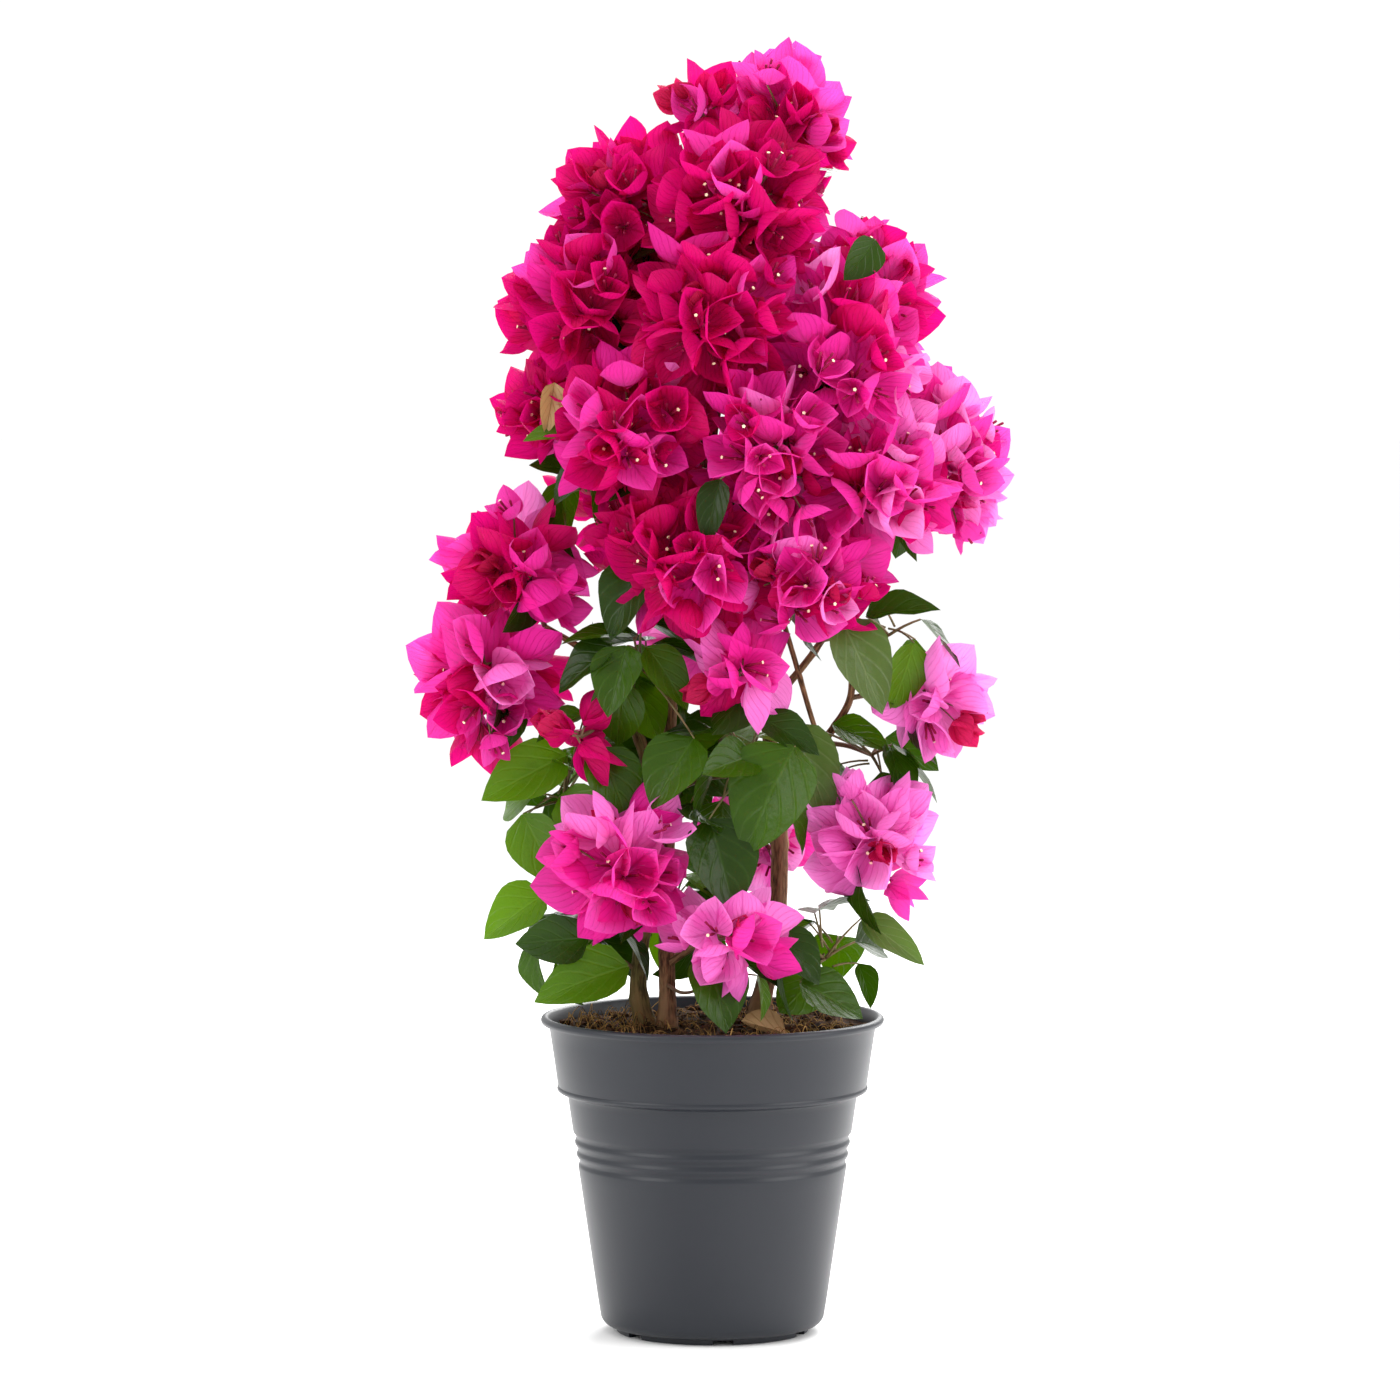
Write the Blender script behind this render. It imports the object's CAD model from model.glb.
import math
from itertools import product

import bpy
import numpy as np
from mathutils import Matrix, Vector, noise
from numpy.linalg import norm


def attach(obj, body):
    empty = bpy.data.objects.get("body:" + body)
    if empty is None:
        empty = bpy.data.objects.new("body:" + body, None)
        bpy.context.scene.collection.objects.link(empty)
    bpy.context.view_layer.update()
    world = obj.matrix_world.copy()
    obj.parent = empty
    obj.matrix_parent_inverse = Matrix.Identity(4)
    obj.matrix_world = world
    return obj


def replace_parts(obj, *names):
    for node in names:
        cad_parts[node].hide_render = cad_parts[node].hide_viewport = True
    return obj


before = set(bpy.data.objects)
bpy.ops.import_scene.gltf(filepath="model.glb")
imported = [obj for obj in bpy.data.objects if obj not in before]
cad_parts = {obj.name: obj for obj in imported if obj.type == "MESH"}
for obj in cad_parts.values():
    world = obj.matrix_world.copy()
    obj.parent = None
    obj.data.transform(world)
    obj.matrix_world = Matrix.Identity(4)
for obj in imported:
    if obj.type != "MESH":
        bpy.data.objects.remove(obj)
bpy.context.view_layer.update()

MM = 0.001  # sizes below are in millimetres, and MM brings them to metres


# ---- Studio ----
# A wide floor of pale card lies under the pot, in a studio with white walls all round it. Large soft
# lamps stand behind the plant and at both of its sides, and a long lens looks at it from four metres.

FLOOR_WIDTH = 24.0
CARD_COLOUR = (0.95, 0.95, 0.945)
CAMERA_PLACE = (-0.0069, -4.0, 0.660)
CAMERA_PITCH = 4.42
CAMERA_LENS = 187
AIR_GLOW = 1.06
LAMPS = {  # each lamp's place, its width in metres and its power
    "lamp_behind": ((0.55, 1.5, 1.5), 1.5, 60),
    "lamp_left": ((-1.7, -1.0, 1.2), 1.2, 20),
    "lamp_right": ((1.6, -0.6, 1.0), 1.3, 20),
    "lamp_above": ((0.0, 0.1, 2.3), 1.3, 20),
}
LAMP_AIM = Vector((0, 0, 0.4))


def finish_named(name, colour, roughness, gloss=0.5):
    """A new material: its node tree, and its shader with a plain colour, roughness and gloss."""
    material = bpy.data.materials.new(name)
    material.use_nodes = True
    shader = material.node_tree.nodes["Principled BSDF"]
    shader.inputs["Base Color"].default_value = (*colour, 1)
    shader.inputs["Roughness"].default_value = roughness
    shader.inputs["Specular IOR Level"].default_value = gloss
    return material, material.node_tree, shader


bpy.ops.mesh.primitive_plane_add(size=FLOOR_WIDTH)
floor = bpy.context.object
floor.name = "studio_floor"
card, _, _ = finish_named("pale_card", CARD_COLOUR, 0.9)
floor.data.materials.append(card)

for lamp_name, (lamp_place, lamp_size, lamp_power) in LAMPS.items():
    bpy.ops.object.light_add(type="AREA", location=lamp_place)
    lamp = bpy.context.object
    lamp.name = lamp_name
    lamp.data.size = lamp_size
    lamp.data.energy = lamp_power
    lamp.rotation_euler = (LAMP_AIM - Vector(lamp_place)).to_track_quat("-Z", "Y").to_euler()

world = bpy.data.worlds.new("studio_air")
world.use_nodes = True
air = world.node_tree.nodes["Background"].inputs
air["Color"].default_value = (1, 1, 1, 1)
air["Strength"].default_value = AIR_GLOW
bpy.context.scene.world = world
bpy.context.scene.view_settings.view_transform = "Standard"

bpy.ops.object.camera_add(location=CAMERA_PLACE, rotation=(math.radians(90 - CAMERA_PITCH), 0, 0))
camera = bpy.context.object
camera.data.lens = CAMERA_LENS
camera.data.clip_end = 50
bpy.context.scene.camera = camera


# ---- Pot ----
# A nursery pot, injection moulded in one shot of dark recycled polypropylene. It has a rolled lip, a
# deep collar, three rounded grooves and a foot ring with notches, through which the drain holes run.
# The section is drawn once and spun, and the notches and holes are then cut out of it.

FOOT_RING = (49.9, 53.3)
FOOT_HEIGHT = 3.2
PAD_RADIUS = 16
BODY_BOTTOM = (62, 8)
BODY_TOP = (79.9, 129.5)
LOWEST_GROOVE = 95.3
GROOVE_SPACING = 6.7
GROOVES = 3
GROOVE_DEPTH = 1.3
LIP = (92.6, 173.6, 2.4)  # middle of the rolled lip's section, and its radius
WALL = 1.6
SPIN_STEPS = 150
NOTCHES = 6
NOTCH_WIDTH = 11.4
NOTCH_HEIGHT = 2.6
NOTCH_DEPTH = 12
FIRST_NOTCH = 0.11 - math.pi / 2
DRAIN_RADIUS = 4
DRAIN_CIRCLE = 34
SMOOTH_ANGLE = 38


def arc(middle, radius, start, end, steps):
    """Places on an arc in a section, from one angle to another in degrees."""
    angles = np.radians(np.linspace(start, end, steps + 1))
    return [(middle[0] + radius * math.cos(a), middle[1] + radius * math.sin(a)) for a in angles]


def body_radius(height):
    return np.interp(height, [BODY_BOTTOM[1], BODY_TOP[1]], [BODY_BOTTOM[0], BODY_TOP[0]])


def grooved_band():
    """The wall across its grooves, as a wave whose troughs are the grooves."""
    half = GROOVE_SPACING / 2
    top = LOWEST_GROOVE + (GROOVES - 0.5) * GROOVE_SPACING
    heights = np.linspace(LOWEST_GROOVE - half, top, 8 * GROOVES + 1)
    waves = 0.5 + 0.5 * np.cos(math.tau * (heights - LOWEST_GROOVE) / GROOVE_SPACING)
    return [(body_radius(z) - GROOVE_DEPTH * wave, z) for z, wave in zip(heights, waves)]


def select_only(*pieces):
    """Selects these pieces alone, the first of them as the active one."""
    bpy.ops.object.select_all(action="DESELECT")
    for piece in pieces:
        piece.select_set(True)
    bpy.context.view_layer.objects.active = pieces[0]


def spun(name, section, steps):
    """A solid of revolution: the section, from axis to axis in millimetres, spun round +Z."""
    mesh = bpy.data.meshes.new(name)
    corners = [(radius * MM, 0, height * MM) for radius, height in section]
    mesh.from_pydata(corners, [(i, i + 1) for i in range(len(corners) - 1)], [])
    piece = bpy.data.objects.new(name, mesh)
    bpy.context.collection.objects.link(piece)
    select_only(piece)
    bpy.ops.object.mode_set(mode="EDIT")
    bpy.ops.mesh.select_all(action="SELECT")
    bpy.ops.mesh.spin(steps=steps, angle=math.tau, center=(0, 0, 0), axis=(0, 0, 1))
    bpy.ops.mesh.select_all(action="SELECT")
    bpy.ops.mesh.remove_doubles(threshold=0.01 * MM)
    bpy.ops.mesh.normals_make_consistent(inside=False)
    bpy.ops.object.mode_set(mode="OBJECT")
    return piece


bottom_corner = arc((FOOT_RING[1] + 1.4, 10.8), 7.5, -90, -15, 7)
inner_corner = arc((BODY_BOTTOM[0] - WALL - 7.4, 12.2), 7.4, -15, -90, 6)
pot_section = [
    (0, 0), (PAD_RADIUS - 0.6, 0), (PAD_RADIUS, 0.5), (PAD_RADIUS + 1.2, FOOT_HEIGHT - 0.3),
    (PAD_RADIUS + 2, FOOT_HEIGHT), (FOOT_RING[0] - 1.6, FOOT_HEIGHT),
    (FOOT_RING[0] - 0.8, FOOT_HEIGHT - 0.4), (FOOT_RING[0], 0.5), (FOOT_RING[0] + 0.6, 0),
    (FOOT_RING[1] - 0.6, 0), (FOOT_RING[1], 0.5), (FOOT_RING[1] + 0.2, FOOT_HEIGHT - 0.3), *bottom_corner,
    *[(body_radius(z), z) for z in (20, 34, 48, 62, 76, 86)], *grooved_band(),
    *[(body_radius(z), z) for z in (118, 124, 129)], (80.2, 131.6), (81.0, 132.9), (82.6, 133.6),
    (84.6, 133.9), (85.7, 134.6), (86.1, 135.6), (85.9, 136.6), (85.5, 137.2), (85.7, 138),
    (86.9, 146.5), (88.1, 155), (89.3, 163), (90.4, 169.8), (91.2, 171.4), (92.8, 171.9),
    *arc(LIP[:2], LIP[2], -50, 150, 12), (89.5, 172.6), (88.7, 169), (84.2, 138), (83.4, 136.2),
    (79.4, 133.6), (BODY_TOP[0] - WALL, BODY_TOP[1] + 1), (BODY_BOTTOM[0] - WALL + 2.6, 30),
    *inner_corner, (30, FOOT_HEIGHT + WALL), (0, FOOT_HEIGHT + WALL),
]
pot = spun("nursery_pot", pot_section, SPIN_STEPS)

cutters = []
for k in range(NOTCHES):
    turn = FIRST_NOTCH + math.tau * k / NOTCHES
    bpy.ops.mesh.primitive_cube_add(size=1, rotation=(0, 0, turn))
    notch = bpy.context.object
    notch.scale = (NOTCH_DEPTH * MM, NOTCH_WIDTH * MM, 2 * NOTCH_HEIGHT * MM)
    notch.location = Vector((math.cos(turn), math.sin(turn), 0)) * (FOOT_RING[1] - 2) * MM
    between = turn + math.pi / NOTCHES
    bpy.ops.mesh.primitive_cylinder_add(vertices=32, radius=DRAIN_RADIUS * MM, depth=20 * MM)
    drain = bpy.context.object
    drain.location = Vector((math.cos(between), math.sin(between), 0)) * DRAIN_CIRCLE * MM
    cutters += [notch, drain]
select_only(*cutters)
bpy.ops.object.join()
cutter = bpy.context.object
cut = pot.modifiers.new("notches", "BOOLEAN")
cut.operation = "DIFFERENCE"
cut.solver = "EXACT"
cut.object = cutter
select_only(pot)
bpy.ops.object.modifier_apply(modifier=cut.name)
bpy.data.objects.remove(cutter)
bpy.ops.object.shade_smooth_by_angle(angle=math.radians(SMOOTH_ANGLE))

POT_PLASTIC = (0.009, 0.0112, 0.0165)
POT_SCUFFED = (0.015, 0.0172, 0.023)


def new_node(tree, kind, sockets=None, **settings):
    """Adds a shader node. A socket is given a number, a colour, or another node's output."""
    made = tree.nodes.new("ShaderNode" + kind)
    for name, value in settings.items():
        setattr(made, name, value)
    for name, value in (sockets or {}).items():
        if isinstance(value, bpy.types.NodeSocket):
            tree.links.new(value, made.inputs[name])
        else:
            made.inputs[name].default_value = (*value, 1) if isinstance(value, tuple) else value
    return made


def object_place(tree):
    return new_node(tree, "TexCoord").outputs["Object"]


def mottle(tree, place, scale, detail):
    return new_node(tree, "TexNoise", {"Vector": place, "Scale": scale, "Detail": detail}).outputs["Fac"]


def ranged(tree, value, low, high, to_low=0, to_high=1):
    """A value brought from one range to another."""
    given = {"Value": value, "From Min": low, "From Max": high, "To Min": to_low, "To Max": to_high}
    return new_node(tree, "MapRange", given).outputs["Result"]


def mixed(tree, share, dark, light):
    return new_node(tree, "Mix", {0: share, 6: dark, 7: light}, data_type="RGBA").outputs[2]


def tinted(tree, shader, share, dark, light):
    tree.links.new(mixed(tree, share, dark, light), shader.inputs["Base Color"])


def roughened(tree, shader, height, strength, distance):
    bump = new_node(tree, "Bump", {"Height": height, "Strength": strength, "Distance": distance})
    tree.links.new(bump.outputs["Normal"], shader.inputs["Normal"])
    return bump.outputs["Normal"]


plastic, tree, shader = finish_named("moulded_plastic", POT_PLASTIC, 0.4, 0.36)
cloudy = mottle(tree, object_place(tree), 24, 5)
tinted(tree, shader, cloudy, POT_PLASTIC, POT_SCUFFED)
tree.links.new(ranged(tree, cloudy, 0, 1, 0.34, 0.46), shader.inputs["Roughness"])
roughened(tree, shader, mottle(tree, object_place(tree), 1400, 2), 0.12, 0.0002)
pot.data.materials.append(plastic)
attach(pot, "root")
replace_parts(pot, "pot")


# ---- Potting soil ----
# Moist dark peat fills the pot to just under its lip. It is pressed level by watering, and its top
# is broken by lumps and crumbs.

SOIL_TOP = 168
MOUTH = 87.5
LOOSE_EDGE = 86  # how far out the soil's top is broken, and fibres lie on it
LUMPS = ((16, 5.0), (5, 3.4), (1.7, 1.6))  # width and height
SOIL_STEPS = 132

# From the axis out over the top, then down inside the pot's wall to the axis again.
top = [(radius, SOIL_TOP + 1.8 - 1.2 * (radius / MOUTH) ** 4) for radius in np.linspace(0, MOUTH, 52)]
down = [(83.6, 138), (BODY_TOP[0] - WALL - 0.4, BODY_TOP[1]), (60, 12), (52, 5.4), (0, 5.4)]
soil = spun("peat_soil", top + down, SOIL_STEPS)
surface = soil.vertex_groups.new(name="surface")
for corner in soil.data.vertices:
    if corner.co.z > (SOIL_TOP - 2.5) * MM and corner.co.xy.length < LOOSE_EDGE * MM:
        surface.add([corner.index], 1, "REPLACE")
for lump_size, lump_height in LUMPS:
    lumps = bpy.data.textures.new(f"lumps_{lump_size}", "CLOUDS")
    lumps.noise_scale = lump_size * MM
    swell = soil.modifiers.new("lumps", "DISPLACE")
    swell.texture = lumps
    swell.direction = "Z"
    swell.strength = lump_height * MM
    swell.vertex_group = "surface"
    bpy.ops.object.modifier_apply(modifier=swell.name)
bpy.ops.object.shade_smooth()

PEAT_COLOURS = ((0.008, 0.004, 0.0022), (0.07, 0.033, 0.014))


def peat_finish(name, colours, scale):
    material, tree, shader = finish_named(name, colours[0], 0.95, 0.1)
    crumbly = mottle(tree, object_place(tree), scale, 6)
    tinted(tree, shader, ranged(tree, crumbly, 0.35, 0.7), *colours)
    roughened(tree, shader, crumbly, 0.8, 0.0015)
    return material


soil.data.materials.append(peat_finish("moist_peat", PEAT_COLOURS, 420))
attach(soil, "root")
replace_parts(soil, "potting_soil")


# ---- Crumbs and fibres in the peat ----
# Loose crumbs of peat and bark lie on the soil, with pale root fibres and strands of dry moss that
# stand up where the soil meets the stems and the pot's wall.

CRUMBS = 900
FIBRES = 620
STREWN_RADIUS = 84
FIBRE_RADIUS = 0.22
CRUMB_COLOURS = ((0.015, 0.007, 0.004), (0.09, 0.042, 0.019))
FIBRE_COLOURS = ((0.035, 0.014, 0.005), (0.62, 0.36, 0.12))


def seeded(n):
    """A repeatable number from 0 to 1 for any seed."""
    s = math.sin(n * 12.9898 + 4.1414) * 43758.5453
    return s - math.floor(s)


def piece_from(name, parts, finish, uvs=None):
    """One mesh object from many parts, each a list of corners in millimetres and faces of them."""
    corners, faces = [], []
    for part_corners, part_faces in parts:
        base = len(corners)
        corners.extend(part_corners)
        faces.extend([tuple(base + i for i in face) for face in part_faces])
    mesh = bpy.data.meshes.new(name)
    mesh.from_pydata(np.array(corners) * MM, [], faces)
    if uvs is not None:
        layer = mesh.uv_layers.new(name="UVMap")
        corner_of = np.empty(len(mesh.loops), int)
        mesh.loops.foreach_get("vertex_index", corner_of)
        layer.data.foreach_set("uv", np.concatenate(uvs)[corner_of].ravel())
    mesh.shade_smooth()
    mesh.materials.append(finish)
    piece = bpy.data.objects.new(name, mesh)
    bpy.context.collection.objects.link(piece)
    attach(piece, "root")
    return piece


def tube(line, radii, sides):
    """A closed tube along a line of places. A radius is one number for a ring, or one for each side."""
    line = np.asarray(line, float)
    run = np.gradient(line, axis=0)
    run /= norm(run, axis=1)[:, None]
    side = np.cross(run[0], (0.31, 0.93, 0.2))
    side /= norm(side)
    angles = math.tau * np.arange(sides) / sides
    corners = []
    for place, ahead, radius in zip(line, run, radii):
        side = side - ahead * side.dot(ahead)
        side /= norm(side)
        other = np.cross(ahead, side)
        ring = np.outer(np.cos(angles), side) + np.outer(np.sin(angles), other)
        corners.extend(place + ring * np.reshape(radius, (-1, 1)))
    faces = [tuple(range(sides))[::-1]]
    for i in range(len(line) - 1):
        for j in range(sides):
            low, high = i * sides + j, i * sides + (j + 1) % sides
            faces.append((low, high, high + sides, low + sides))
    last = (len(line) - 1) * sides
    faces.append(tuple(range(last, last + sides)))
    return corners, faces


def strewn(seed, more):
    """A place strewn over the soil's own surface, which a ray from above finds."""
    radius = STREWN_RADIUS * math.sqrt(seeded(seed))
    angle = math.tau * seeded(more)
    x, y = radius * math.cos(angle), radius * math.sin(angle)
    hit, place, _, _ = soil.ray_cast(Vector((x, y, 200)) * MM, Vector((0, 0, -1)))
    return np.array([x, y, place.z / MM if hit else SOIL_TOP])


bpy.ops.mesh.primitive_ico_sphere_add(subdivisions=1, radius=1)
ball = bpy.context.object
ball_corners = np.array([v.co for v in ball.data.vertices])
ball_faces = [tuple(p.vertices) for p in ball.data.polygons]
bpy.data.objects.remove(ball)

crumb_parts = []
for n in range(CRUMBS):
    size = 0.6 + 2.4 * seeded(n + 0.3) ** 3
    squash = np.array([1 + 0.8 * seeded(n + 0.4), 1, 0.6 + 0.4 * seeded(n + 0.5)]) * size
    dents = np.array([[0.75 + 0.5 * seeded(n * 13 + i)] for i in range(len(ball_corners))])
    turned = np.array(Matrix.Rotation(6.28 * seeded(n + 0.6), 3, "Z"))
    crumb = (ball_corners * squash * dents) @ turned + strewn(n + 0.1, n + 0.2) + (0, 0, 0.25 * size)
    crumb_parts.append((crumb, ball_faces))
crumb_finish = peat_finish("bark_crumbs", CRUMB_COLOURS, 160)
crumbs = piece_from("peat_crumbs", crumb_parts, crumb_finish)
crumbs.data.shade_flat()

fibre_parts = []
for n in range(FIBRES):
    foot = strewn(n + 5.1, n + 5.2) - (0, 0, 0.4)
    heading = math.tau * seeded(n + 5.3)
    reach = 4 + 9 * seeded(n + 5.4)
    rise = 1 + 7 * seeded(n + 5.5) ** 3 + (6 * seeded(n + 5.7) ** 2 if foot[0] < -32 else 0)
    ahead = np.array([math.cos(heading), math.sin(heading), 0]) * reach
    curl = np.array([-math.sin(heading), math.cos(heading), 0]) * reach * (seeded(n + 5.6) - 0.5)
    t = np.linspace(0, 1, 6)[:, None]
    strand = foot + ahead * t + curl * np.sin(3 * t) + np.array([0, 0, rise]) * np.sin(2.9 * t)
    if norm(strand[-1][:2]) < LOOSE_EDGE:
        fibre_parts.append(tube(strand, [FIBRE_RADIUS] * 6, 3))
fibre_finish = peat_finish("dry_fibres", FIBRE_COLOURS, 60)
piece_from("peat_fibres", fibre_parts, fibre_finish)


# ---- Stems and boughs ----
# Three woody stems come up from the soil, flare at their feet, and fork into boughs. Their bark is
# thin, brown and ridged lengthwise, with a swollen knot wherever a leaf once stood.

GROUND = SOIL_TOP + 0.3
FLARE_HEIGHT = 10
KNOT_SPACING = 36
RING_STEP = 1.6
STEM_SIDES, BOUGH_SIDES = 24, 14
LIMBS = {  # the limb that each grows from, its radius at foot and tip, its flare, and its places
    "stem_left": (None, 4.8, 2.6, 2.4, [
        (-36, 1, GROUND), (-41, -1, 192), (-33, 0, 268), (-35, -2, 309), (-50, -6, 358)]),
    "stem_centre": (None, 4.6, 2.6, 1.8, [
        (-25, -8, GROUND), (-25, -5, 262), (-23, 0, 347), (-10, 4, 440), (4, 4, 520)]),
    "stem_right": (None, 5.4, 2.8, 2.2, [
        (25, 42, GROUND), (35, 32, 217), (37, 24, 289), (31, 16, 338), (36, 10, 420), (46, 6, 500)]),
    "bough_top": ("stem_centre", 2.5, 1.8, 0, [(4, 4, 520), (10, 4, 570), (20, 4, 622)]),
    "bough_upper_left": ("stem_centre", 2.2, 1.7, 0, [(-2, 4, 486), (-22, 8, 535), (-34, 8, 582)]),
    "bough_left": ("stem_centre", 2.3, 1.7, 0, [(-12, 4, 430), (-36, 2, 470), (-54, 0, 506)]),
    "bough_front": ("stem_centre", 2.2, 1.7, 0, [(-4, 4, 476), (-8, -14, 506), (-8, -26, 528)]),
    "bough_right": ("stem_right", 2.6, 1.8, 0, [(46, 6, 500), (58, 4, 528), (74, 2, 550)]),
    "bough_far_right": ("stem_right", 2.4, 1.7, 0, [(38, 10, 436), (70, 8, 446), (100, 4, 468)]),
    "bough_front_low": ("stem_right", 2.4, 1.7, 0, [(34, 12, 396), (28, -8, 432), (22, -26, 452)]),
    "bough_back": ("stem_centre", 2.3, 1.7, 0, [(-8, 4, 452), (-2, 24, 490), (4, 36, 512)]),
    "bough_left_spray": ("stem_left", 2.3, 1.6, 0, [(-50, -6, 358), (-70, -8, 378), (-92, -10, 392)]),
    "bough_arching": ("stem_right", 2.6, 1.8, 0, [
        (37, 23, 296), (62, 6, 328), (76, 0, 352), (76, -2, 380)]),
    "bough_diagonal": ("stem_right", 2.3, 1.7, 0, [(31, 15, 346), (52, 2, 372), (72, -8, 402)]),
    "bough_pendant": ("bough_front_low", 1.6, 1.4, 0, [
        (29, -6, 428), (44, -16, 378), (58, -20, 332), (70, -22, 306)]),
    "bough_low_front": ("stem_centre", 2, 1.6, 0, [(-25, -7, 205), (-8, -26, 218), (2, -40, 222)]),
}


def interpolated(spots, marks, places):
    """The places at these spots of a line whose own places stand at the marks."""
    return np.stack([np.interp(spots, marks, values) for values in places.T], axis=-1)


def route_through(places, steps=120):
    """Evenly spaced places on a smooth curve through the given ones, tightest where they are close."""
    given = [Vector(place) for place in places]
    given = [2 * given[0] - given[1], *given, 2 * given[-1] - given[-2]]
    rough = []
    for before, start, end, after in zip(given, given[1:], given[2:], given[3:]):
        gaps = [(b - a).length ** 0.5 for a, b in ((before, start), (start, end), (end, after))]
        ahead = (end - start) / gaps[1]
        leave = (start - before) / gaps[0] - (end - before) / (gaps[0] + gaps[1]) + ahead
        arrive = ahead - (after - start) / (gaps[1] + gaps[2]) + (after - end) / gaps[2]
        leave, arrive = leave * gaps[1], arrive * gaps[1]
        square = 3 * (end - start) - 2 * leave - arrive
        cube = 2 * (start - end) + leave + arrive
        for t in np.arange(0, 1, 0.02):
            rough.append(start + leave * t + square * t**2 + cube * t**3)
    rough = np.array([*rough, given[-2]])
    along = np.concatenate([[0], np.cumsum(norm(np.diff(rough, axis=0), axis=1))])
    even = np.linspace(0, along[-1], steps + 1)
    return interpolated(even, along, rough), along[-1]


def place_on(route, shares):
    """The place at a share of an evenly spaced route, or the places at several."""
    return interpolated(shares * (len(route) - 1), np.arange(len(route)), route)


routes = {}  # of each limb: its places, and its radius at each of them
for name, (_, foot, tip, flare, places) in LIMBS.items():
    route, length = route_through(places)
    shares = np.linspace(0, 1, len(route))
    routes[name] = route, foot + (tip - foot) * shares + flare * np.exp(-shares * length / FLARE_HEIGHT)


def bark_relief(radius, distances, angles, offset):
    """How far the bark stands out at each ring and side: long ridges, fine cracks and knots."""
    relief = np.zeros((len(distances), len(angles)))
    for i, distance in enumerate(distances):
        from_knot = (distance + offset * 7) % KNOT_SPACING - KNOT_SPACING / 2
        knot_side = offset + 2.4 * math.floor((distance + offset * 7) / KNOT_SPACING)
        swelling = 0.1 * math.exp(-((from_knot / 3.2) ** 2))
        for j, angle in enumerate(angles):
            spoke = Vector((math.cos(angle), math.sin(angle), 0))
            ridges = noise.noise(spoke * 2.6 + Vector((offset, 0, distance * 0.035)))
            cracks = noise.noise(spoke * 7 + Vector((0, offset, distance * 0.16)))
            scar = 0.2 * math.exp(-((from_knot / 2) ** 2)) * max(0, math.cos(angle - knot_side)) ** 6
            relief[i, j] = radius[i] * (0.09 * ridges + 0.055 * cracks + swelling + scar)
    return relief


def bark_limb(name, offset, sides, finish):
    """A limb with its bark's relief, and the attribute that the bark's grain follows."""
    route, radii = routes[name]
    length = norm(np.diff(route, axis=0), axis=1).sum()
    rings = round(length / RING_STEP) + 1
    line = place_on(route, np.linspace(0, 1, rings))
    distances = np.linspace(0, length, rings)
    radius = np.interp(distances / length, np.linspace(0, 1, len(radii)), radii)
    if LIMBS[name][0]:
        radius = radius * (1 + 0.45 * np.exp(-distances / 5))
    angles = math.tau * np.arange(sides) / sides
    relief = bark_relief(radius, distances, angles, offset)
    corners, faces = tube(line, radius[:, None] + relief, sides)
    if not LIMBS[name][0]:
        for corner in corners[:sides]:
            corner[2] = line[0][2] - 1.5
    limb = piece_from(name + "_bark", [(corners, faces)], finish)
    grain = limb.data.attributes.new("grain", "FLOAT_VECTOR", "POINT")
    around = np.tile(np.stack([np.cos(angles), np.sin(angles)], axis=1), (rings, 1)) * radius.mean()
    values = np.column_stack([around, np.repeat(distances, sides) * 0.14])
    grain.data.foreach_set("vector", values.ravel())
    return limb


def bark_finish(name, groove, ridge, bloom):
    """Bark: a streaked colour along the limb's own grain, paler on the ridges and cracked in between."""
    material, tree, shader = finish_named(name, ridge, 0.8, 0.25)
    grain = new_node(tree, "Attribute", attribute_name="grain").outputs["Vector"]
    streaks = ranged(tree, mottle(tree, grain, 1.1, 6), 0.36, 0.62)
    patches = ranged(tree, mottle(tree, grain, 0.22, 2), 0.45, 0.7)
    tinted(tree, shader, patches, mixed(tree, streaks, groove, ridge), bloom)
    roughened(tree, shader, mottle(tree, grain, 3.2, 4), 0.6, 0.0006)
    return material


BROWN_BARK = ((0.06, 0.026, 0.012), (0.3, 0.155, 0.075), (0.36, 0.21, 0.11))
GREEN_BARK = ((0.06, 0.043, 0.014), (0.2, 0.16, 0.055), (0.3, 0.19, 0.08))
brown_bark = bark_finish("brown_bark", *BROWN_BARK)
green_bark = bark_finish("green_brown_bark", *GREEN_BARK)
for index, name in enumerate(LIMBS):
    sides = BOUGH_SIDES if LIMBS[name][0] else STEM_SIDES
    finish = green_bark if name == "stem_left" else brown_bark
    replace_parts(bark_limb(name, 1.7 * index, sides, finish), name)


# ---- How the crown grows ----
# Each mass of bloom or leaves hangs on one thin stem, and its twigs part at its middle, along a golden
# spiral that starts at its outer side. A twig forks again into finer ones. Each keeps to its mass's
# own space and stays clear of the limbs, or isn't grown.

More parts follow.
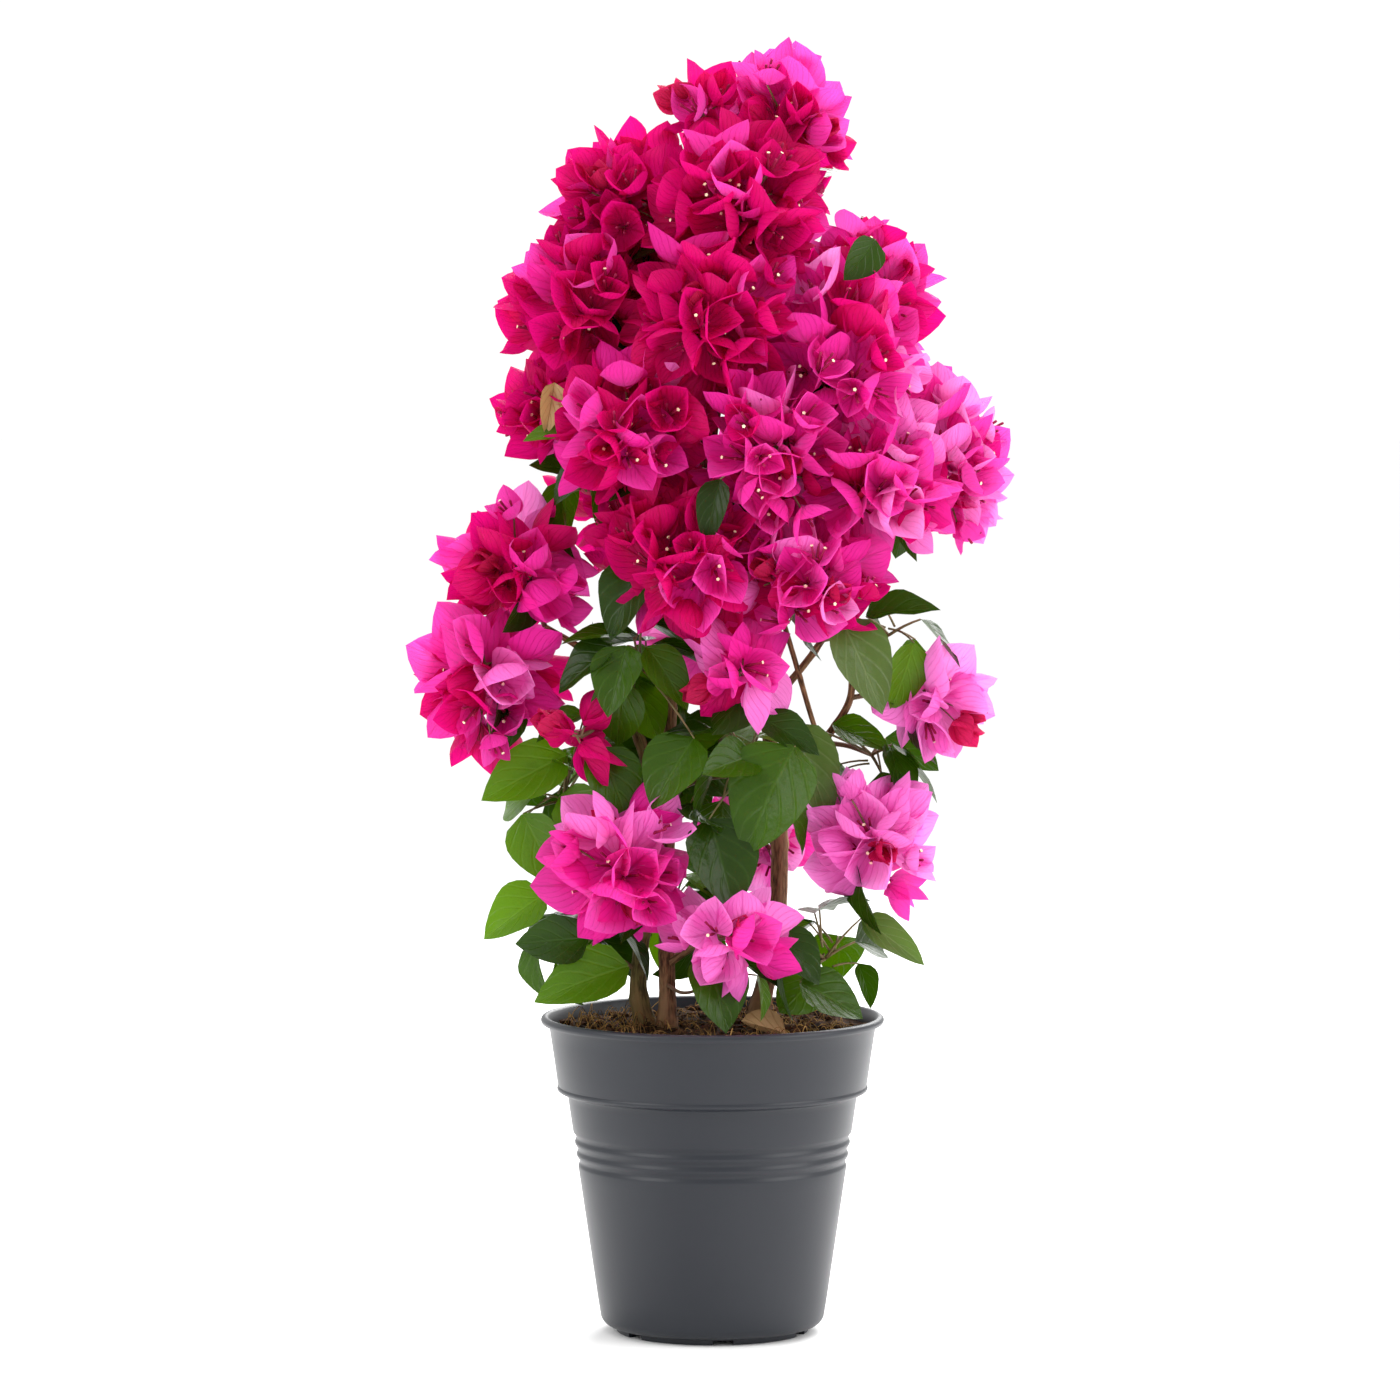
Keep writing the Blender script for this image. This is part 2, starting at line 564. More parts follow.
# Each mass: the limb it hangs on, where along it, its middle, how far it reaches, and its twigs.
MASS_TABLE = {
    "bloom_tip_right": ("bough_top", 1, (42, 0, 664), (40, 42, 52), 9),
    "bloom_tip_left": ("bough_top", 0.9, (-1, 4, 671), (28, 36, 36), 5),
    "bloom_upper_front": ("bough_top", 0.76, (14, -34, 622), (52, 48, 50), 7),
    "bloom_upper_left": ("bough_upper_left", 1, (-46, 0, 618), (53, 54, 50), 8),
    "bloom_left": ("bough_upper_left", 0.84, (-62, -6, 566), (58, 60, 54), 8),
    "bloom_centre": ("bough_front", 1, (0, -48, 562), (56, 54, 56), 8),
    "bloom_right_upper": ("bough_right", 1, (84, 6, 574), (46, 50, 44), 5),
    "bloom_right": ("bough_right", 0.8, (62, -38, 545), (56, 54, 54), 6),
    "bloom_left_low": ("bough_left", 1, (-86, 4, 508), (38, 46, 38), 5),
    "bloom_front_left": ("bough_left", 0.8, (-44, -46, 505), (52, 52, 48), 7),
    "bloom_front": ("bough_front_low", 1, (28, -52, 490), (54, 52, 52), 6),
    "bloom_right_low": ("bough_diagonal", 1, (84, -34, 470), (54, 54, 54), 7),
    "bloom_far_right": ("bough_far_right", 1, (122, 4, 479), (48, 50, 54), 9),
    "bloom_low_left": ("bough_front_low", 0.8, (-16, -46, 432), (50, 50, 50), 7),
    "bloom_low_right": ("bough_arching", 1, (50, -42, 422), (48, 50, 44), 6),
    "hanging_spray": ("bough_front_low", 0.35, (16, -58, 372), (30, 30, 38), 5),
    "left_spray_upper": ("bough_left_spray", 1, (-108, -8, 424), (50, 44, 46), 7),
    "left_spray_lower": ("bough_left_spray", 0.84, (-124, -14, 366), (48, 44, 52), 8),
    "left_sprig": ("stem_left", 0.9, (-72, -42, 334), (28, 28, 28), 3),
    "right_spray": ("bough_arching", 0.72, (120, -4, 354), (39, 36, 39), 7),
    "right_low_spray": ("bough_pendant", 1, (88, -24, 274), (42, 38, 48), 7),
    "left_low_spray": ("stem_left", 0.43, (-50, -52, 264), (50, 42, 44), 6),
    "front_low_spray": ("bough_low_front", 1, (12, -58, 224), (40, 36, 36), 5),
    "bloom_back_top": ("bough_top", 0.62, (24, 36, 624), (54, 52, 54), 7),
    "bloom_back_left": ("bough_upper_left", 0.66, (-40, 46, 560), (58, 56, 58), 7),
    "bloom_back_right": ("bough_back", 1, (56, 46, 552), (60, 56, 56), 6),
    "bloom_back_low_left": ("bough_back", 0.8, (-36, 48, 470), (56, 54, 54), 7),
    "bloom_back_low_right": ("bough_back", 0.6, (52, 50, 466), (58, 54, 54), 6),
    "back_spray": ("stem_right", 0.54, (2, 66, 380), (44, 36, 40), 6),
    "back_low_spray": ("stem_right", 0.25, (28, 70, 268), (42, 34, 38), 6),
    "leaves_upper_left": ("bough_left", 0.5, (-66, -4, 464), (36, 38, 32), 6),
    "leaves_left_upper": ("stem_left", 0.95, (-40, -32, 372), (42, 40, 40), 8),
    "leaves_centre": ("stem_centre", 0.37, (16, -36, 312), (52, 44, 46), 11),
    "leaves_left": ("stem_left", 0.68, (-82, -10, 296), (46, 44, 40), 9),
    "leaves_right": ("bough_arching", 0.42, (88, 4, 320), (46, 44, 40), 8),
    "leaves_low_left": ("stem_left", 0.17, (-68, -12, 214), (47, 44, 35), 9),
    "leaves_low_right": ("stem_right", 0.1, (62, -8, 208), (44, 44, 37), 8),
    "leaves_front_low": ("bough_low_front", 0.7, (10, -40, 200), (32, 32, 30), 5),
    "leaves_right_upper": ("bough_diagonal", 0.7, (97, -6, 387), (40, 42, 38), 8),
    "leaves_back": ("stem_centre", 0.4, (-24, 50, 324), (50, 42, 42), 9),
    "leaves_back_low": ("stem_centre", 0.12, (-22, 52, 220), (48, 38, 36), 8),
}
MASSES = {}
for name, (limb, share, at, reach, sprays) in MASS_TABLE.items():
    kind = {"bloom": "dense", "leaves": "foliage"}.get(name.split("_")[0], "loose")
    MASSES[name] = {"name": name, "kind": kind, "limb": limb, "share": share, "sprays": sprays}
    MASSES[name] |= {"centre": Vector(at), "radii": Vector(reach)}

UP = Vector((0, 0, 1))
GOLDEN_ANGLE = math.pi * (3 - math.sqrt(5))
MASS_STEM_RADIUS = 1.6
STEM_RISE = 0.06
CROWN_TOP = 600
WALL_CLEARANCE = 1.1
COVER = {"dense": 0.66, "loose": 0.95, "foliage": 0.85}  # how far round a mass its twigs stand
INTERLOCK = {"dense": 13, "loose": 10, "foliage": 22}  # how far neighbours reach into each other
OUTER_SLACK = 1.03  # the crown's loose outer edge, as a share of a mass's reach
FILL = 0.35  # how much further a mass swells into the hollows between it and its neighbours
LIMB_CLEARANCE = 1.6


def crown_axis(height):
    """The crown's middle line leans right as it rises, and the masses face away from it."""
    lean = min(max((height - 300) * 0.06, 0), 20)
    return Vector((lean, 6, min(height - 14, CROWN_TOP)))


def ellipsoid_reach(m, direction):
    return 1 / Vector(d / r for d, r in zip(direction, m["radii"])).length


twigs = {"woody": [], "green": []}
stretches = []


def add_stretches(route, radii, owner, steps):
    """Short straight stretches that stand for a limb or a mass's stem."""
    spots = np.linspace(0, 1, steps + 1)
    places = place_on(route, spots)
    halfway = (spots[:-1] + spots[1:]) / 2
    thickness = np.interp(halfway, np.linspace(0, 1, len(radii)), radii)
    stretches.extend(zip(places, places[1:], thickness, [owner] * steps))


for name, (route, radii) in routes.items():
    add_stretches(route, radii, name, 12)
for name, m in MASSES.items():
    m["outward"] = (m["centre"] - crown_axis(m["centre"].z)).normalized()
    root = Vector(place_on(routes[m["limb"]][0], m["share"]))
    bend = root.lerp(m["centre"], 0.5) + UP * STEM_RISE * (m["centre"] - root).length
    route, length = route_through([root, bend, m["centre"]], 12)
    radii = np.linspace(MASS_STEM_RADIUS, MASS_STEM_RADIUS - 0.4, len(route))
    twigs["woody"].append((route, radii))
    add_stretches(route, radii, name, 4)
    m["walls"] = []
    for other in MASSES.values():
        if other is m:
            continue
        towards = other["centre"] - m["centre"]
        distance = towards.length
        towards.normalize()
        own, others = ellipsoid_reach(m, towards), ellipsoid_reach(other, towards)
        if distance <= own + others + 2 * WALL_CLEARANCE:
            m["walls"].append((towards, distance * own / (own + others) - WALL_CLEARANCE))
    m["wall_directions"] = np.array([towards for towards, _ in m["walls"]])
    m["wall_places"] = np.array([at for _, at in m["walls"]])

starts, ends, thick, owners = (np.array(column) for column in zip(*stretches))
spans = ends - starts
span_squares = (spans**2).sum(axis=1)


def clear_of_limbs(m, places):
    """True if all the places are clear of every limb and of the other masses' stems."""
    offsets = np.asarray(places)[:, None, :] - starts[None]
    shares = np.clip((offsets * spans).sum(axis=2) / span_squares, 0, 1)
    gaps = norm(offsets - shares[..., None] * spans, axis=2)
    return bool(((gaps > thick + LIMB_CLEARANCE) | (owners == m["name"])).all())


def reach_along(m, direction, slack=0):
    """How far the mass's space goes from its middle in one direction."""
    reach = ellipsoid_reach(m, direction)
    if slack:
        reach *= 1 + FILL * max(0, max(direction.dot(towards) for towards, _ in m["walls"]) - 0.4)
    for towards, at in m["walls"]:
        slope = direction.dot(towards)
        if slope > 0.01:
            reach = min(reach, (at + slack) / slope)
    return reach


def inside_space(m, places):
    """True if all the places are in the mass's space, which interlocks a little with the next ones."""
    offsets = np.asarray(places) - np.array(m["centre"])
    if (np.asarray(places)[:, 2] < GROUND + 1.6).any():
        return False
    heights = offsets @ m["wall_directions"].T
    facing = heights.max(axis=1) / np.maximum(norm(offsets, axis=1), 0.1)
    limits = OUTER_SLACK + FILL * np.maximum(facing - 0.4, 0)
    outside = norm(offsets / np.array(m["radii"]), axis=1) > limits
    return not outside.any() and bool((heights <= m["wall_places"] + INTERLOCK[m["kind"]]).all())


class Spacing:
    """Keeps things of one kind apart: a place is taken only where nothing stands closer than allowed."""

    def __init__(self):
        self.taken = np.full((1, 3), 1e6)

    def crowded(self, place, least):
        return bool((norm(self.taken - np.array(place), axis=1) < least).any())

    def take(self, place):
        self.taken = np.vstack([self.taken, np.array(place)])


def perpendicular(direction, hint):
    return (hint - direction * hint.dot(direction)).normalized()


def turned_about(vector, axis, angle):
    return Matrix.Rotation(angle, 3, axis) @ vector


def spray_direction(m, k, seed):
    """Twig k points along a golden spiral that starts at the mass's outer side."""
    height = 1 - 2 * COVER[m["kind"]] * k / m["sprays"]
    turn = k * GOLDEN_ANGLE + math.tau * seeded(seed)
    flat = math.sqrt(1 - height * height)
    direction = Vector((flat * math.cos(turn), flat * math.sin(turn), height))
    direction.rotate(UP.rotation_difference(m["outward"]))
    return (direction + UP * (0.35 if m["kind"] == "foliage" else 0)).normalized()


def blade_places(middle, along, across, facing, length, width):
    """Places on a blade's outline and midrib, at which it is tested."""
    shoulder = middle + along * (0.4 * length) + facing * (0.05 * length)
    left, right = shoulder - across * (width / 2), shoulder + across * (width / 2)
    tip = middle + along * length
    inner = [middle.lerp(place, 0.6) for place in (left, tip, right)]
    return [left, right, tip, *inner, left.lerp(tip, 0.5), right.lerp(tip, 0.5), left.lerp(right, 0.5)]


def add_twig(kind, start, end, bow, thick, thin):
    """A fine twig, which bows a little upwards on its way."""
    middle = start.lerp(end, 0.5) + UP * bow * (end - start).length
    line = [start.lerp(middle, t).lerp(middle.lerp(end, t), t) for t in np.linspace(0, 1, 5)]
    twigs[kind].append((line, np.linspace(thick, thin, 5)))


# ---- Leaves ----
# Ovate, pointed leaves, thin and glossy, each folded a little along its midrib and arched over. They
# hang from the ends and sides of the leafy twigs, and a few stand among the bloom.

LEAF_LENGTH = 52
LEAF_WIDTH = 0.72
LEAF_FORMS = 8
LEAF_ROWS, LEAF_COLUMNS = 9, 6
LEAF_LIFT = 0.3
LEAF_TWIG = 0.5
SHRINKING = (1, 0.88, 0.76, 0.64)  # a blade with no room is tried again at these shares of its size
LEAF_SWINGS = (0, 0.6, -0.6, 1.2, -1.2)  # and turned by these angles
LEAF_SPACING = 19  # from the middle of one leaf to the next
LARGE_SPACING = 26  # and to the middle of one of the largest
SIDE_LEAVES = (  # share of the twig, turn from it, size
    (0.3, 1.2, 0.8), (0.55, -1.1, 0.94), (0.85, 1.0, 0.9),
)
LEAF_COLOURS = {
    "dark": ((0.013, 0.034, 0.001), (0.022, 0.052, 0.004), (0.045, 0.13, 0.001)),
    "green": ((0.026, 0.066, 0.001), (0.04, 0.09, 0.005), (0.1, 0.26, 0.001)),
    "sunlit": ((0.05, 0.12, 0.002), (0.07, 0.15, 0.008), (0.19, 0.42, 0.002)),
    "underside": ((0.062, 0.098, 0.022), (0.11, 0.15, 0.055), (0.14, 0.28, 0.025)),
    "dried": ((0.45, 0.31, 0.14), (0.27, 0.17, 0.06), (0.6, 0.4, 0.12)),
}
LEAF_SURFACE = {"roughness": 0.31, "gloss": 0.2, "light_through": 0.22, "relief": -0.6}
OPEN_FOLIAGE = ("leaves_right_upper", "leaves_right")  # whose twigs bear a single side leaf


def blade_form(rows, columns, half_width, lift):
    """One blade lying along +Y, one unit long: corners, faces and the UV of each corner."""
    corners, uvs = [], []
    for i in range(rows):
        y = i / rows
        for j in range(columns + 1):
            u = 2 * j / columns - 1
            corners.append((u * half_width(y), y, lift(u, y)))
            uvs.append((j / columns, y))
    corners.append((0, 1, lift(0, 1)))
    uvs.append((0.5, 1))
    width = columns + 1
    faces = []
    for i in range(rows - 1):
        for j in range(columns):
            a = i * width + j
            faces.append((a, a + 1, a + width + 1, a + width))
    for j in range(columns):
        a = (rows - 1) * width + j
        faces.append((a, a + 1, len(corners) - 1))
    return np.array(corners), faces, np.array(uvs)


def leaf_form(n):
    fold, arch = 0.07 + 0.09 * seeded(n + 0.1), 0.06 + 0.26 * seeded(n + 0.2)
    wave, phase = 0.012 + 0.02 * seeded(n + 0.3), 6.28 * seeded(n + 0.4)
    twist = 0.12 * (seeded(n + 0.5) - 0.5)

    def half_width(y):
        return max(0.03, 0.5 * LEAF_WIDTH * 2.49 * y**0.5 * (1 - y) ** 0.9)

    def lift(u, y):
        broad = half_width(y) / (0.5 * LEAF_WIDTH)
        ripple = wave * abs(u) ** 1.5 * math.sin(11 * y + phase + 0.8 * u) * broad
        return fold * abs(u) * broad + ripple - arch * y * y + twist * u * y * broad

    return blade_form(LEAF_ROWS, LEAF_COLUMNS, half_width, lift)


def placed_blade(form, middle, along, across, facing, length):
    """A blade form at its place: its corners, its faces and its UVs."""
    corners, faces, uvs = form
    axes = np.array([across, along, facing]) * length
    return (corners @ axes + np.array(middle), faces), uvs


leaf_blades = {colour: [] for colour in LEAF_COLOURS}
leaf_spacing, large_leaves = Spacing(), Spacing()


def leaf_colour(seed, inside):
    draw = seeded(seed + 0.7)
    if inside or draw < 0.5:
        return "dark"
    return "green" if draw < 0.84 else "sunlit"


def grow_leaf(m, foot, end, size, seed, inside=False):
    """A leaf that hangs across the end of its twig, its upper face outwards, if it has room."""
    direction = (end - foot).normalized()
    down = perpendicular(direction, m["outward"] * 0.3 - UP)
    for share, swing in product(SHRINKING, LEAF_SWINGS):
        length = LEAF_LENGTH * size * share * (0.94 + 0.16 * seeded(seed + 1))
        along = (turned_about(down, direction, swing) + direction * LEAF_LIFT).normalized()
        facing = perpendicular(along, direction)
        across = facing.cross(along) * -1
        places = blade_places(end, along, across, facing, length, LEAF_WIDTH * length)
        middle = end + along * (0.5 * length)
        crowded = leaf_spacing.crowded(middle, LEAF_SPACING)
        if crowded or large_leaves.crowded(middle, LARGE_SPACING):
            continue
        if inside_space(m, places) and clear_of_limbs(m, places):
            leaf_spacing.take(middle)
            form = leaf_forms[int(LEAF_FORMS * seeded(seed + 2))]
            colour = leaf_colour(seed, inside)
            leaf_blades[colour].append(placed_blade(form, end, along, across, facing, length))
            return True
    return False


leaf_forms = [leaf_form(n) for n in range(LEAF_FORMS)]
# The largest leaves at the front: mass, foot, tip, which way the face leans, width, colour.
SINGLE_LEAVES = (
    ("bloom_right_upper", (88, -53, 605), (73, -61, 583), (0.9, -1, 0.4), 0.8, "dark"),
    ("leaves_right_upper", (84, -32, 399), (123, -38, 408), (0.1, -0.6, 1), 0.62, "dark"),
    ("leaves_right_upper", (70, -40, 398), (95, -52, 349), (0.5, -1, 0.35), 0.66, "underside"),
    ("leaves_right", (44, -30, 340), (66, -42, 289), (0.3, -1, 0.2), 0.56, "underside"),
    ("leaves_low_right", (82, -20, 232), (117, -28, 208), (0.3, -1, 0.5), 0.44, "underside"),
    ("leaves_centre", (27, -46, 344), (58, -58, 330), (-0.2, -1, 0.9), 0.6, "dark"),
    ("leaves_centre", (45, -58, 330), (13, -76, 279), (-0.3, -1, 0.5), 0.8, "green"),
    ("leaves_centre", (-2, -56, 290), (14, -74, 244), (0.3, -1, 0.35), 0.8, "dark"),
    ("leaves_left_upper", (-10, -54, 334), (-35, -70, 300), (-0.4, -1, 0.6), 0.86, "green"),
    ("leaves_left_upper", (-38, -46, 430), (-58, -56, 390), (-0.5, -1, 0.3), 0.7, "dark"),
    ("leaves_left_upper", (-36, -52, 384), (-12, -62, 352), (0.3, -1, 0.8), 0.62, "green"),
    ("leaves_left", (-62, -42, 328), (-44, -56, 290), (0.4, -1, 0.4), 0.76, "green"),
    ("leaves_left", (-80, -22, 322), (-127, -34, 300), (0, -1, 0.7), 0.66, "sunlit"),
    ("leaves_left", (-70, -24, 345), (-98, -30, 336), (-0.2, -0.6, 1), 0.6, "green"),
    ("leaves_left", (-104, -24, 290), (-86, -34, 250), (-0.5, -1, 0.3), 0.7, "sunlit"),
    ("leaves_low_left", (-92, -16, 245), (-127, -24, 224), (-0.1, -1, 0.7), 0.72, "sunlit"),
    ("leaves_low_left", (-46, -34, 207), (-98, -44, 192), (-0.1, -1, 0.6), 0.62, "sunlit"),
    ("leaves_front_low", (-4, -52, 215), (10, -66, 176), (0.5, -1, 0.35), 0.84, "green"),
    ("leaves_low_right", (48, -34, 198), (84, -36, 181), (0.3, -0.8, 0.9), 0.86, "green"),
    ("leaves_low_right", (36, -30, 226), (60, -40, 200), (0.5, -1, 0.4), 0.7, "dark"),
    ("leaves_right", (66, -10, 338), (98, -16, 326), (0.3, -0.7, 0.9), 0.7, "green"),
    ("leaves_upper_left", (-60, -34, 488), (-92, -30, 465), (-0.4, -0.8, 0.8), 0.66, "dark"),
    ("bloom_front", (4, -72, 476), (-6, -84, 444), (-0.3, -1, 0.2), 0.5, "dark"),
    ("bloom_left_low", (-86, -44, 527), (-90, -51, 500), (0.2, -1, 0.1), 0.5, "dried"),
    ("bloom_left_low", (-80, -46, 501), (-103, -50, 498), (0.1, -1, 0.9), 0.5, "sunlit"),
)
for number, (mass_name, foot, tip, lean, width, colour) in enumerate(SINGLE_LEAVES):
    foot, tip = Vector(foot), Vector(tip)
    along = (tip - foot).normalized()
    facing = perpendicular(along, Vector(lean))
    across = along.cross(facing) * (width / LEAF_WIDTH)
    form = leaf_forms[number % LEAF_FORMS]
    leaf_blades[colour].append(placed_blade(form, foot, along, across, facing, (tip - foot).length))
    large_leaves.take(foot.lerp(tip, 0.5))
    add_twig("green", MASSES[mass_name]["centre"], foot, 0.08, 0.9, 0.5)

seed = 17
for m in MASSES.values():
    m["seeds"] = [seed + 7 * (k + 1) for k in range(m["sprays"])]
    seed = m["seeds"][-1]
for m in MASSES.values():
    for k, seed in enumerate(m["seeds"]):
        direction = spray_direction(m, k, seed)
        reach = reach_along(m, direction)
        if m["kind"] == "foliage":
            end = m["centre"] + direction * max(LEAF_TWIG * reach, 6)
            if grow_leaf(m, m["centre"], end, 1.06, seed):
                add_twig("green", m["centre"], end, 0.08, 1.0, 0.6)
            side_leaves = SIDE_LEAVES[:1] if m["name"] in OPEN_FOLIAGE else SIDE_LEAVES
            for number, (share, turn, size) in enumerate(side_leaves):
                foot = m["centre"].lerp(end, share)
                spin = math.tau * seeded(seed + number)
                aside = perpendicular(direction, turned_about(UP, direction, spin))
                away = (direction * math.cos(turn) + aside * math.sin(turn)).normalized()
                side_end = foot + away * (8 + 14 * seeded(seed + 4 + number))
                if grow_leaf(m, foot, side_end, size, seed + 0.31 * (number + 1)):
                    add_twig("green", foot, side_end, 0.1, 0.7, 0.5)
        elif k % 4 == 3:  # every fourth twig of bloom bears a leaf inside its mass
            foot = m["centre"] - direction * 4
            aside = perpendicular(direction, UP * -1 - m["outward"])
            end = foot + (direction * 0.2 + aside * 0.9).normalized() * 14
            if grow_leaf(m, foot, end, 0.84, seed + 0.77, True):
                add_twig("green", foot, end, 0.1, 0.7, 0.5)


def worked(tree, operation, *values):
    return new_node(tree, "Math", dict(enumerate(values)), operation=operation).outputs[0]


def blade_finish(name, colours, roughness, gloss, light_through, relief, side_veins=4.5, slant=1.0):
    """A blade's finish: veins along the blade's own UV, light through it, and fine creases."""
    face, vein, through = colours
    material, tree, shader = finish_named(name, face, roughness, gloss)
    uv = new_node(tree, "UVMap", uv_map="UVMap")
    axes = new_node(tree, "SeparateXYZ", {0: uv.outputs["UV"]})
    across = worked(tree, "ABSOLUTE", worked(tree, "SUBTRACT", axes.outputs["X"], 0.5))
    leaning = worked(tree, "MULTIPLY_ADD", across, -slant, axes.outputs["Y"])
    wrapped = worked(tree, "FRACT", worked(tree, "MULTIPLY", leaning, side_veins))
    away = worked(tree, "ABSOLUTE", worked(tree, "SUBTRACT", wrapped, 0.5))
    midrib = ranged(tree, across, 0.008, 0.035, 1, 0)
    veins = worked(tree, "MAXIMUM", midrib, ranged(tree, away, 0.02, 0.14, 0.6, 0))
    tinted(tree, shader, veins, face, vein)
    creases = mottle(tree, object_place(tree), 210, 4)
    height = worked(tree, "MULTIPLY_ADD", veins, relief, creases)
    normal = roughened(tree, shader, height, 0.5, 0.0012)
    glow = new_node(tree, "BsdfTranslucent", {"Color": through, "Normal": normal})
    both = new_node(tree, "MixShader", {0: light_through, 1: shader.outputs[0], 2: glow.outputs[0]})
    tree.links.new(both.outputs[0], tree.nodes["Material Output"].inputs["Surface"])
    return material


foliage_nodes = [name for name, m in MASSES.items() if m["kind"] == "foliage"]
for colour, colours in LEAF_COLOURS.items():
    parts, uvs = zip(*leaf_blades[colour])
    finish = blade_finish("leaf_" + colour, colours, **LEAF_SURFACE)
    leaves = piece_from("leaves_" + colour, parts, finish, uvs)
    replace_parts(leaves, *foliage_nodes)


# ---- Fallen leaf ----
# One dead leaf lies on the peat in front of the stems. It has dried to a pale brown shell, whose sides
# have rolled up.

FALLEN_PLACE = Vector((40, -40, 170.5))
FALLEN_LENGTH = 25
FALLEN_COLOURS = ((0.42, 0.27, 0.14), (0.25, 0.14, 0.06), (0.5, 0.3, 0.12))
FALLEN_SURFACE = {"roughness": 0.8, "gloss": 0.1, "light_through": 0.2, "relief": 0.8}


def shell_half_width(y):
    return max(0.02, 0.62 * y**0.5 * (1 - y) ** 0.7)


def shell_lift(u, y):
    return 1.5 * shell_half_width(y) * (1 - math.sqrt(1 - 0.98 * u * u)) + 0.18 * y * y


shell = blade_form(10, 12, shell_half_width, shell_lift)
along = Vector((-1, 0.25, 0.12)).normalized()
facing = perpendicular(along, Vector((0.1, -0.8, 1)))
part, part_uvs = placed_blade(shell, FALLEN_PLACE, along, along.cross(facing), facing, FALLEN_LENGTH)
fallen_finish = blade_finish("dried_leaf", FALLEN_COLOURS, **FALLEN_SURFACE)
piece_from("fallen_leaf", [part], fallen_finish, [part_uvs])


# ---- Bracts ----
# Three papery bracts open as a cup round each small group of flowers: thin, veined and slightly
# creased, with a point. The oldest are the palest, and a bud's are small, closed and redder.

BRACT_LENGTH = {"dense": 31.5, "loose": 35}
BRACT_WIDTH = 0.92
BRACT_FORMS = 12
BRACT_ROWS, BRACT_COLUMNS = 8, 6
BRACT_COLOURS = {
    "pale": ((0.9, 0.17, 0.6), (0.74, 0.07, 0.4), (1.0, 0.36, 0.82)),
    "bright": ((0.76, 0.013, 0.31), (0.57, 0.005, 0.17), (1.0, 0.12, 0.62)),
    "deep": ((0.52, 0.0006, 0.11), (0.37, 0.0004, 0.055), (0.92, 0.006, 0.27)),
    "young": ((0.5, 0.012, 0.09), (0.34, 0.006, 0.045), (0.72, 0.02, 0.14)),
}
BRACT_SURFACE = {
    "roughness": 0.55, "gloss": 0.13, "light_through": 0.44, "relief": 1.0, "side_veins": 5.5, "slant": 1.6,
}
SIDE_SPRAYS = {"dense": 14, "loose": 9}
OPENING = {"dense": 0.3, "loose": 0.08}  # least angle of a bract from its whorl's axis
BUD_OPENING = 0.2
BRACT_SIDE = Vector((0.31, 0.2, 0.93))  # from which the bracts of a whorl are turned round its axis
FADING = {  # how much more or less than its neighbours the sun has faded a mass
    "bloom_upper_front": -0.06, "bloom_upper_left": -0.05, "bloom_centre": -0.12, "bloom_left": -0.08,
    "bloom_low_left": -0.14, "bloom_front_left": 0.16, "bloom_front": 0.16, "bloom_right": 0.06,
    "bloom_right_low": 0.08, "bloom_tip_left": 0.08, "left_spray_upper": 0.1, "left_spray_lower": 0.14,
    "left_sprig": -0.4, "hanging_spray": -0.1, "left_low_spray": 0.1,
}
WHORL_SWINGS = (0, 0.6, -0.6, 1.0)
WHORL_SPACING = {"dense": 15.5, "loose": 18.5}  # from the mouth of one whorl to the next
WHORL_RISE = {"dense": 0.6, "loose": 0.15}  # how far a whorl turns up; the loose ones nod


def bract_form(n):
    belly, cup = -0.2 + 0.12 * seeded(n + 0.1), 0.14 + 0.16 * seeded(n + 0.2)
    wave, phase = 0.02 + 0.035 * seeded(n + 0.3), 6.28 * seeded(n + 0.4)
    curl, twist = 0.2 * (seeded(n + 0.5) - 0.75), 0.14 * (seeded(n + 0.6) - 0.5)

    def half_width(y):
        return max(0.04, 0.5 * BRACT_WIDTH * 2.46 * y**0.5 * (1 - y) ** 0.88)

    def lift(u, y):
        broad = half_width(y) / (0.5 * BRACT_WIDTH)
        ripple = wave * abs(u) ** 1.3 * math.sin(9 * y + phase + 1.5 * u) * broad
        keel = -0.02 * math.exp(-((u / 0.25) ** 2)) * broad
        bowl = belly * math.sin(math.pi * y) + cup * u * u * broad
        return bowl + ripple + keel + curl * y**3 + twist * u * y * broad

    return blade_form(BRACT_ROWS, BRACT_COLUMNS, half_width, lift)


bract_forms = [bract_form(100 + n) for n in range(BRACT_FORMS)]
bract_blades = {colour: [] for colour in BRACT_COLOURS}
whorl_spacing = Spacing()
whorls = []  # where the bracts open round their flowers: place, direction, side and size


def whorl_length(m, direction, length, opening):
    """Where a twig ends, so that the tips of its bracts come to the edge of the mass's space."""
    reach = reach_along(m, direction, INTERLOCK[m["kind"]])
    sideways = min(length * math.sin(opening), reach)
    return max(math.sqrt(reach**2 - sideways**2) - length * math.cos(opening) - 0.5, 6)


def bract_colour(m, place, direction, seed, depth):
    """Sprays that stand in the sun, on the right and on top, have faded most."""
    sun = 0.0026 * place.x + 0.0012 * (500 - place.z) + 0.16 * direction.z - 0.6 * (1 - depth)
    sun += FADING.get(m["name"], 0) + (0.2 if m["kind"] == "loose" else 0)
    draw = 0.75 * seeded(seed + 0.4) + sun
    if draw > 0.78:
        return "pale"
    return "bright" if draw > 0.34 else "deep"


def bract_axes(axis, side, turn, lean):
    """Which way a bract runs, its width and its face, when it stands at a turn round its whorl's axis."""
    radial = turned_about(side, axis, turn)
    across = axis.cross(radial)
    along = axis * math.cos(lean) + radial * math.sin(lean)
    return along, across, along.cross(across)


